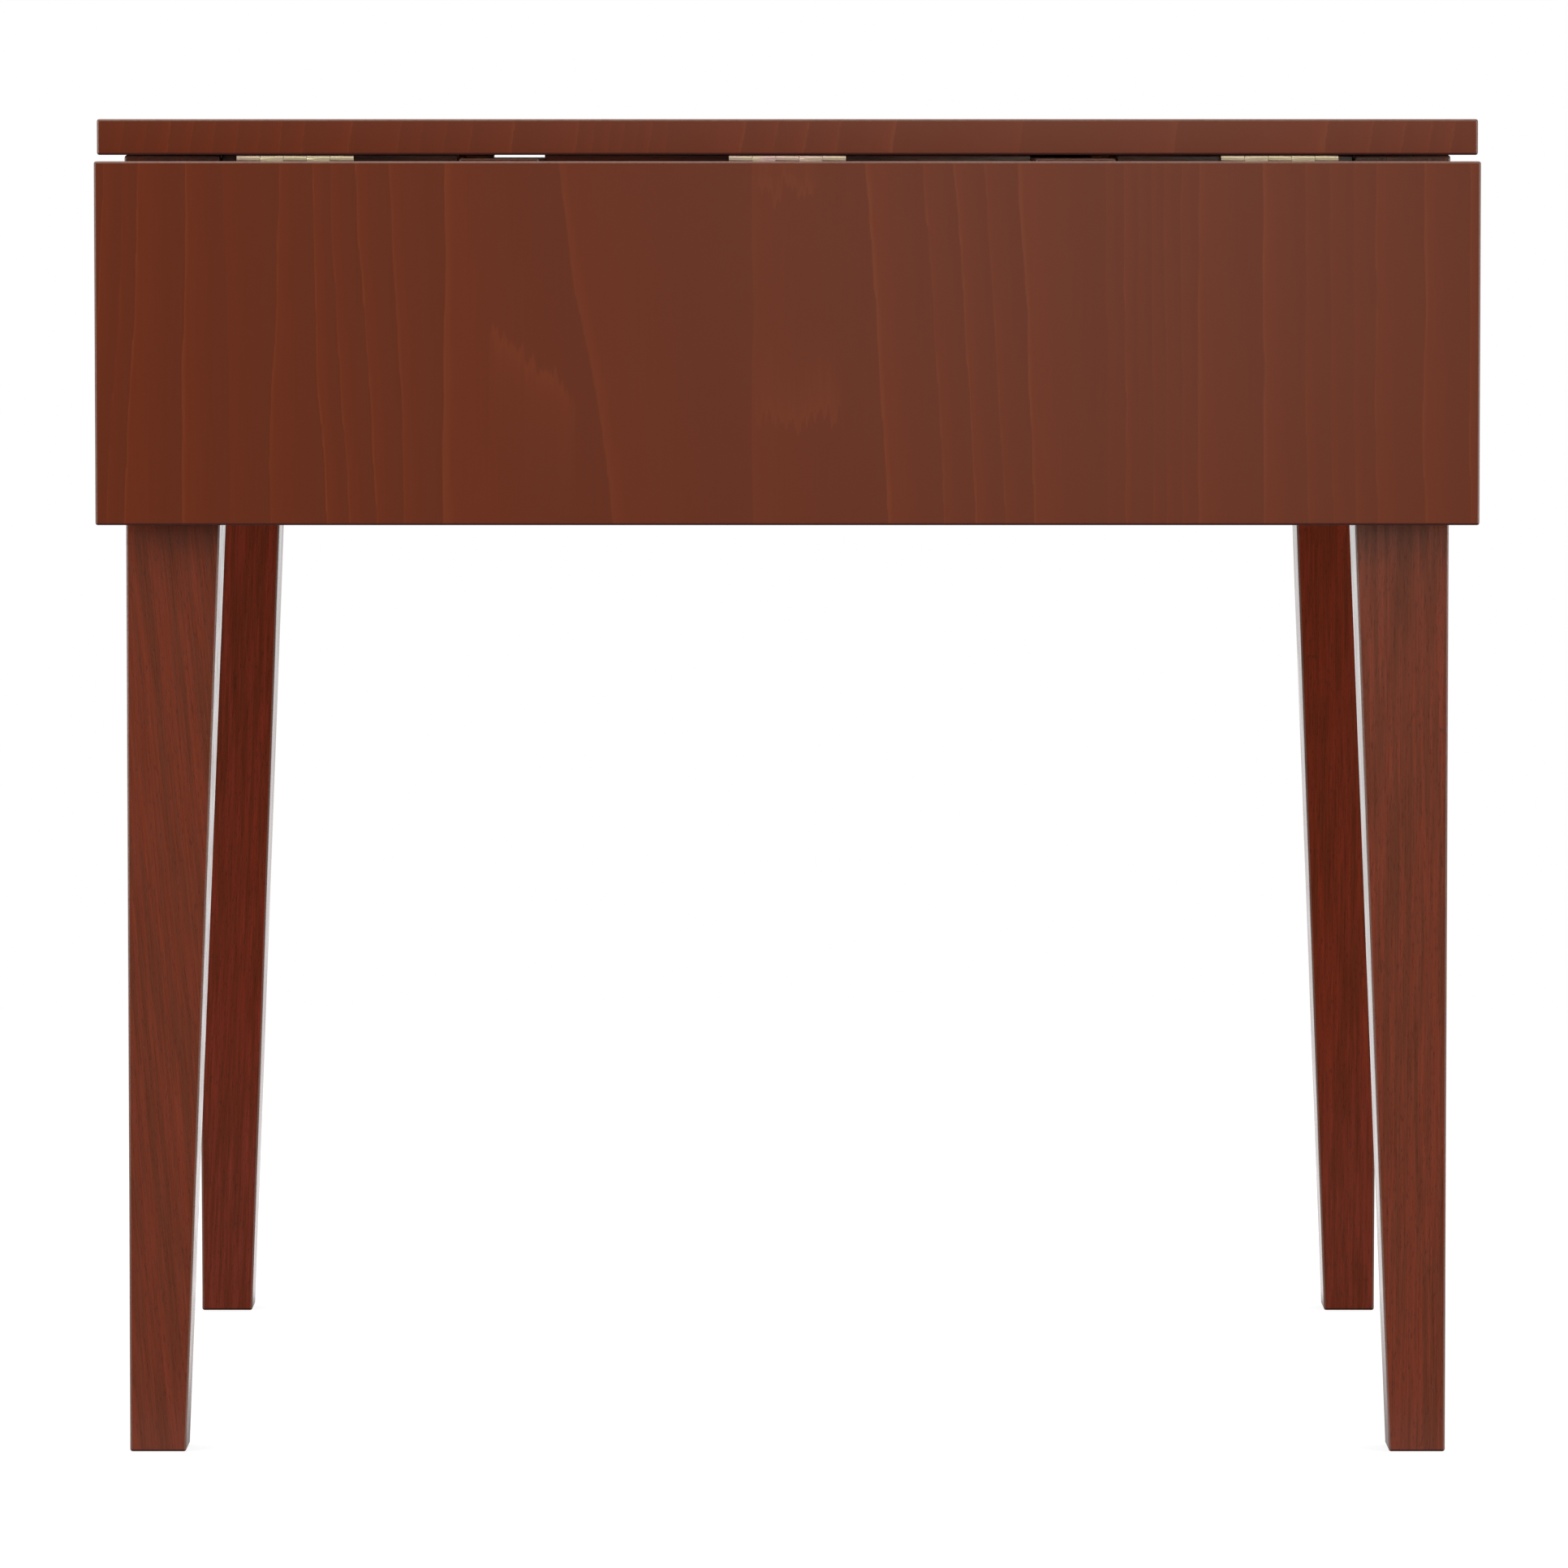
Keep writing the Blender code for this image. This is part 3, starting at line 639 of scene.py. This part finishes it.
def buildScrewTree():
    inputs = [("Geometry", "NodeSocketGeometry", None), ("Head Radius", "NodeSocketFloat", 0.003)]
    inputs += [("Head Height", "NodeSocketFloat", 0.001), ("Cross Width", "NodeSocketFloat", 0.0036)]
    inputs += [("Cross Depth", "NodeSocketFloat", 0.0007)]
    inputs += [("Seed", "NodeSocketInt", screwShape["seed"]), ("Finish", "NodeSocketMaterial", None)]
    outputs = [("Geometry", "NodeSocketGeometry")]
    tree, given, result = newGroup("crossScrews", "GeometryNodeTree", inputs, outputs)
    radius, height = given["Head Radius"], given["Head Height"]
    crown = calc(tree, "MULTIPLY", radius, screwShape["crown"])
    feeds = {"Vertices": screwShape["sides"], "Side Segments": screwShape["steps"]}
    feeds.update({"Radius Top": crown, "Radius Bottom": radius, "Depth": height})
    cone = put(tree, "GeometryNodeMeshCone", feeds, fill_type="NGON").outputs["Mesh"]
    point = put(tree, "GeometryNodeInputPosition").outputs[0]
    place = put(tree, "ShaderNodeSeparateXYZ", {0: point}).outputs
    away = calc(tree, "ADD", calc(tree, "POWER", place["X"], 2.0), calc(tree, "POWER", place["Y"], 2.0))
    inner = calc(tree, "SUBTRACT", 1.0, calc(tree, "DIVIDE", away, calc(tree, "POWER", radius, 2.0)))
    dome = calc(tree, "MULTIPLY", calc(tree, "SQRT", calc(tree, "MAXIMUM", inner, 0.0)), height)
    domed = put(tree, "ShaderNodeCombineXYZ", {0: place["X"], 1: place["Y"], 2: dome}).outputs[0]
    head = put(tree, "GeometryNodeSetPosition", {"Geometry": cone, "Position": domed}).outputs[0]
    arm = calc(tree, "MULTIPLY", given["Cross Width"], screwShape["arm"])
    deep = calc(tree, "MULTIPLY", given["Cross Depth"], 2.0)
    lift = put(tree, "ShaderNodeCombineXYZ", {2: height}).outputs[0]
    size = put(tree, "ShaderNodeCombineXYZ", {0: given["Cross Width"], 1: arm, 2: deep}).outputs[0]
    bar = put(tree, "GeometryNodeMeshCube", {"Size": size}).outputs["Mesh"]
    for turn in (0.0, math.pi / 2):
        feeds = {"Geometry": bar, "Translation": lift, "Rotation": (0.0, 0.0, turn)}
        feeds = {"Mesh 1": head, "Mesh 2": put(tree, "GeometryNodeTransform", feeds).outputs[0]}
        head = put(tree, "GeometryNodeMeshBoolean", feeds, operation="DIFFERENCE").outputs[0]
    feeds = {"Geometry": head, "Shade Smooth": True}
    smooth = put(tree, "GeometryNodeSetShadeSmooth", feeds).outputs[0]
    angle = put(tree, "GeometryNodeInputMeshEdgeAngle").outputs["Unsigned Angle"]
    soft = calc(tree, "LESS_THAN", angle, math.radians(screwShape["sharpAngle"]))
    feeds = {"Geometry": smooth, "Shade Smooth": soft}
    crisp = put(tree, "GeometryNodeSetShadeSmooth", feeds, domain="EDGE").outputs[0]
    feeds = {"Name": "aim"}
    aim = put(tree, "GeometryNodeInputNamedAttribute", feeds, data_type="FLOAT_VECTOR").outputs[0]
    feeds = {3: 2 * math.pi, "Seed": given["Seed"]}
    spin = put(tree, "FunctionNodeRandomValue", feeds, data_type="FLOAT").outputs[1]
    spun = put(tree, "ShaderNodeCombineXYZ", {2: spin}).outputs[0]
    start = put(tree, "FunctionNodeEulerToRotation", {0: spun}).outputs[0]
    feeds = {"Rotation": start, "Vector": aim}
    facing = put(tree, "FunctionNodeAlignRotationToVector", feeds, axis="Z").outputs[0]
    feeds = {"Points": given["Geometry"], "Instance": crisp, "Rotation": facing}
    screws = put(tree, "GeometryNodeInstanceOnPoints", feeds).outputs[0]
    solid = put(tree, "GeometryNodeRealizeInstances", {"Geometry": screws}).outputs[0]
    feeds = {"Geometry": solid, "Material": given["Finish"]}
    tree.links.new(put(tree, "GeometryNodeSetMaterial", feeds).outputs[0], result["Geometry"])
    return tree


screwTree = buildScrewTree()
screwItems = screwTree.interface.items_tree
screwSockets = {item.name: item.identifier for item in screwItems if item.in_out == "INPUT"}


def screwPiece(name, body, finish, sizes, places):
    # places: pairs of a point and its outward direction
    points = bpy.data.meshes.new(name + "Points")
    points.from_pydata([Vector(at) - Vector(aim) * screwPlaces["sink"] for at, aim in places], [], [])
    aims = points.attributes.new("aim", "FLOAT_VECTOR", "POINT")
    for i, (at, aim) in enumerate(places):
        aims.data[i].vector = aim
    holder = addObject(name + "Points", points)
    step = holder.modifiers.new("screws", "NODES")
    step.node_group = screwTree
    settings = {"Head Radius": sizes["radius"], "Head Height": sizes["height"], "Finish": finish}
    settings.update({"Cross Width": sizes["crossWidth"], "Cross Depth": sizes["crossDepth"]})
    settings["Seed"] = screwShape["seed"]
    for label, value in settings.items():
        step[screwSockets[label]] = value
    view = bpy.context.evaluated_depsgraph_get()
    view.update()
    mesh = bpy.data.meshes.new_from_object(holder.evaluated_get(view))
    mesh.name = name
    holder.modifiers.remove(step)
    bpy.data.objects.remove(holder)
    piece = addObject(name, mesh)
    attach(piece, body)
    print(name, "has", len(places), "screws and", len(mesh.polygons), "faces")


def hingePlaces(side, onLeaf):
    row = []
    outward = -1 if side == "front" else 1
    for hand in ("left", "middle", "right"):
        low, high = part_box("hinge_pin_" + side + "_" + hand)
        pin = (low + high) / 2
        face = screwPlaces["knuckle"] - screwPlaces["flapSheet"]
        for shift in (-screwPlaces["holeSpread"], 0.0, screwPlaces["holeSpread"]):
            if onLeaf:
                at = (pin.x + shift, pin.y + outward * face, pin.z - screwPlaces["holeRow"])
                row.append((at, (0, -outward, 0)))
            else:
                at = (pin.x + shift, pin.y - outward * screwPlaces["holeRow"], pin.z + face)
                row.append((at, (0, 0, -1)))
    return row


def bracketPlaces():
    found = []
    for depth, sideY in (("front", -1), ("back", 1)):
        for hand, sideX in (("left", -1), ("right", 1)):
            low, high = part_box("leg_" + depth + "_" + hand)
            corner = Vector((high.x if sideX > 0 else low.x, high.y if sideY > 0 else low.y, 0))
            low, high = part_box("corner_bracket_" + depth + "_" + hand)
            middle = (low.z + high.z) / 2
            reach, face = screwPlaces["wingReach"], screwPlaces["wingFace"]
            for lift in (-screwPlaces["wingSpread"], screwPlaces["wingSpread"]):
                onLong = corner.x - sideX * reach, corner.y - sideY * face, middle + lift
                onShort = corner.x - sideX * face, corner.y - sideY * reach, middle + lift
                found += [(onLong, (0, -sideY, 0)), (onShort, (-sideX, 0, 0))]
    return found


def cleatPlaces():
    found = []
    inwards = {"front": (0, 1, 0), "right": (-1, 0, 0), "back": (0, -1, 0), "left": (1, 0, 0)}
    for side, inward in inwards.items():
        low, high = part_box("top_cleat_" + side)
        middle, half = (low + high) / 2, (high - low) / 2
        inward = Vector(inward)
        along = Vector((inward.y, inward.x, 0))
        for share in (-screwPlaces["cleatSide"], screwPlaces["cleatSide"]):
            face = middle + inward * half.dot(Vector([abs(c) for c in inward]))
            found.append((face + along * share * max(half), inward))
        for share in (-screwPlaces["cleatBelow"], screwPlaces["cleatBelow"]):
            found.append((middle + along * share * max(half) - Vector((0, 0, half.z)), (0, 0, -1)))
    return found


def keeperPlaces():
    found = []
    for place in ("front_left", "front_right", "back_left", "back_right"):
        low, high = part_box("slide_keeper_" + place)
        for x in (low.x + screwPlaces["keeperInset"], high.x - screwPlaces["keeperInset"]):
            found.append(((x, (low.y + high.y) / 2, low.z), (0, 0, -1)))
    return found


frameHingePlaces = hingePlaces("front", False) + hingePlaces("back", False)
screwPiece("frameHingeScrews", "frame", yellowZinc, hingeScrews, frameHingePlaces)
for side in ("front", "back"):
    leafPlaces = hingePlaces(side, True)
    screwPiece(side + "LeafScrews", side + "_leaf", yellowZinc, hingeScrews, leafPlaces)
fixingPlaces = bracketPlaces() + cleatPlaces() + keeperPlaces()
screwPiece("fixingScrews", "frame", greyZinc, fixingScrews, fixingPlaces)


# Floor, light and camera

studio = {
    "floorSize": 80.0,
    "floorDrop": 0.0003,  # keeps the floor clear of the feet
    "floorColour": rgb(0.25, 0.25, 0.25),
    "shadowShare": 0.25,  # how much of the floor's own shading the camera sees
    "floorLevel": 1.1,
    "nearFloor": (0.8, 2.4),  # from here to there the shading fades into plain white
    "behind": 1.0,  # the room's own light, which reflections see too
    "frontLow": 0.04,
    "frontFloor": 0.2,
    "frontHigh": 0.55,
    "frontEdge": (-0.5, -0.36),  # where the floor turns dim for reflections
    "frontRange": (-6.0, -2.0),
    "besideShare": 0.78,
    "besideEdge": (0.295, 0.31),
    "besideEnd": (0.3, 0.4),
    "roomRise": (0.0, 0.22),
    "roomTurn": (-0.25, 0.25),
    "keyLeft": {"place": (-3.9, -3.2, 1.3), "size": (2.2, 2.6), "power": 117.0},
    "keyRight": {"place": (4.0, -3.1, 1.3), "size": (2.2, 2.6), "power": 124.0},
    "strip": {"place": (0.38, -5.3, 1.02), "size": (0.6, 1.4), "power": 7.4, "colour": (1.0, 0.97, 0.80)},
    "overhead": {"place": (0.0, 0.3, 3.2), "size": (3.0, 3.0), "power": 45.0},
    "aim": (0.0, 0.0, 0.45),
}


def buildFloor():
    shape = bmesh.new()
    bmesh.ops.create_grid(shape, x_segments=1, y_segments=1, size=studio["floorSize"] / 2)
    bmesh.ops.translate(shape, verts=shape.verts[:], vec=(0, 0, -studio["floorDrop"]))
    mesh = bpy.data.meshes.new("floor")
    shape.to_mesh(mesh)
    shape.free()
    floor = addObject("floor", mesh)
    made = bpy.data.materials.new("paleFloor")
    made.use_nodes = True
    tree = made.node_tree
    tree.nodes.clear()
    path = put(tree, "ShaderNodeLightPath").outputs
    mirrored = calc(tree, "MAXIMUM", path["Is Glossy Ray"], path["Is Transmission Ray"])
    place = put(tree, "ShaderNodeTexCoord").outputs["Object"]
    xyz = put(tree, "ShaderNodeSeparateXYZ", {0: place}).outputs
    outside = ease(tree, calc(tree, "ABSOLUTE", xyz["X"]), *studio["besideEdge"], 0.0, 1.0)
    ahead = ease(tree, xyz["Y"], *studio["besideEnd"], studio["besideShare"], 0.0)
    beside = calc(tree, "MULTIPLY", outside, ahead)
    front = calc(tree, "MAXIMUM", beside, ease(tree, xyz["Y"], *studio["frontEdge"], 1.0, 0.0))
    grey = studio["shadowShare"]
    paint = put(tree, "ShaderNodeBsdfDiffuse", {"Color": studio["floorColour"]}).outputs[0]
    faint = put(tree, "ShaderNodeBsdfDiffuse", {"Color": rgb(grey, grey, grey)}).outputs[0]
    feeds = {"Color": rgb(1, 1, 1), "Strength": studio["floorLevel"] - grey}
    glow = put(tree, "ShaderNodeEmission", feeds).outputs[0]
    near = put(tree, "ShaderNodeAddShader", {0: faint, 1: glow}).outputs[0]
    white = put(tree, "ShaderNodeEmission", {"Color": rgb(1, 1, 1), "Strength": 1.0}).outputs[0]
    level = ease(tree, xyz["Y"], *studio["frontRange"], studio["frontLow"], studio["frontFloor"])
    dim = put(tree, "ShaderNodeEmission", {"Color": rgb(1, 1, 1), "Strength": level}).outputs[0]
    far = put(tree, "ShaderNodeVectorMath", {0: place}, operation="LENGTH").outputs["Value"]
    feeds = {0: ease(tree, far, *studio["nearFloor"], 0.0, 1.0), 1: near, 2: white}
    shown = put(tree, "ShaderNodeMixShader", feeds).outputs[0]
    feeds = {0: calc(tree, "MULTIPLY", front, mirrored), 1: shown, 2: dim}
    shown = put(tree, "ShaderNodeMixShader", feeds).outputs[0]
    seen = calc(tree, "MAXIMUM", path["Is Camera Ray"], mirrored)
    lit = put(tree, "ShaderNodeMixShader", {0: seen, 1: paint, 2: shown}).outputs[0]
    below = put(tree, "ShaderNodeNewGeometry").outputs["Backfacing"]
    clear = put(tree, "ShaderNodeBsdfTransparent").outputs[0]
    sided = put(tree, "ShaderNodeMixShader", {0: below, 1: lit, 2: clear}).outputs[0]
    put(tree, "ShaderNodeOutputMaterial", {"Surface": sided})
    mesh.materials.append(made)


def buildWorld():
    world = bpy.data.worlds.new("studioWorld")
    bpy.context.scene.world = world
    world.use_nodes = True
    tree = world.node_tree
    tree.nodes.clear()
    straight = put(tree, "ShaderNodeLightPath").outputs["Is Camera Ray"]
    towards = put(tree, "ShaderNodeTexCoord").outputs["Generated"]
    xyz = put(tree, "ShaderNodeSeparateXYZ", {0: towards}).outputs
    room = ease(tree, xyz["Z"], *studio["roomRise"], studio["frontLow"], studio["frontHigh"])
    ahead = ease(tree, xyz["Y"], *studio["roomTurn"], 1.0, 0.0)
    around = blendValue(tree, ahead, studio["behind"], room)
    strength = blendValue(tree, straight, around, 1.0)
    feeds = {"Color": rgb(1, 1, 1), "Strength": strength}
    put(tree, "ShaderNodeOutputWorld", {"Surface": put(tree, "ShaderNodeBackground", feeds).outputs[0]})


def buildLamp(name):
    values = studio[name]
    lamp = bpy.data.lights.new(name, "AREA")
    lamp.shape = "RECTANGLE"
    lamp.size, lamp.size_y = values["size"]
    lamp.energy = values["power"]
    lamp.color = values.get("colour", (1.0, 1.0, 1.0))
    holder = addObject(name, lamp)
    holder.location = values["place"]
    toAim = Vector(studio["aim"]) - Vector(values["place"])
    holder.rotation_euler = toAim.to_track_quat("-Z", "Y").to_euler()
    holder.visible_camera = False


camera = {
    "place": (0.0031, -5.3589, 0.7231),
    "pitchDown": 3.48,
    "lens": 208.5,
    "shift": (-0.00577, -0.05),
    "sensor": 36.0,
    "clip": (0.1, 200.0),
}


def buildCamera():
    lens = bpy.data.cameras.new("photoCamera")
    lens.sensor_fit = "HORIZONTAL"
    lens.sensor_width = camera["sensor"]
    lens.lens = camera["lens"]
    lens.shift_x, lens.shift_y = camera["shift"]
    lens.clip_start, lens.clip_end = camera["clip"]
    holder = addObject("photoCamera", lens)
    holder.location = camera["place"]
    holder.rotation_euler = Euler((math.radians(90.0 - camera["pitchDown"]), 0.0, 0.0))
    bpy.context.scene.camera = holder


buildFloor()
buildWorld()
for lampName in ("keyLeft", "keyRight", "strip", "overhead"):
    buildLamp(lampName)
buildCamera()
bpy.context.scene.view_settings.view_transform = "Standard"
print("studio ready")
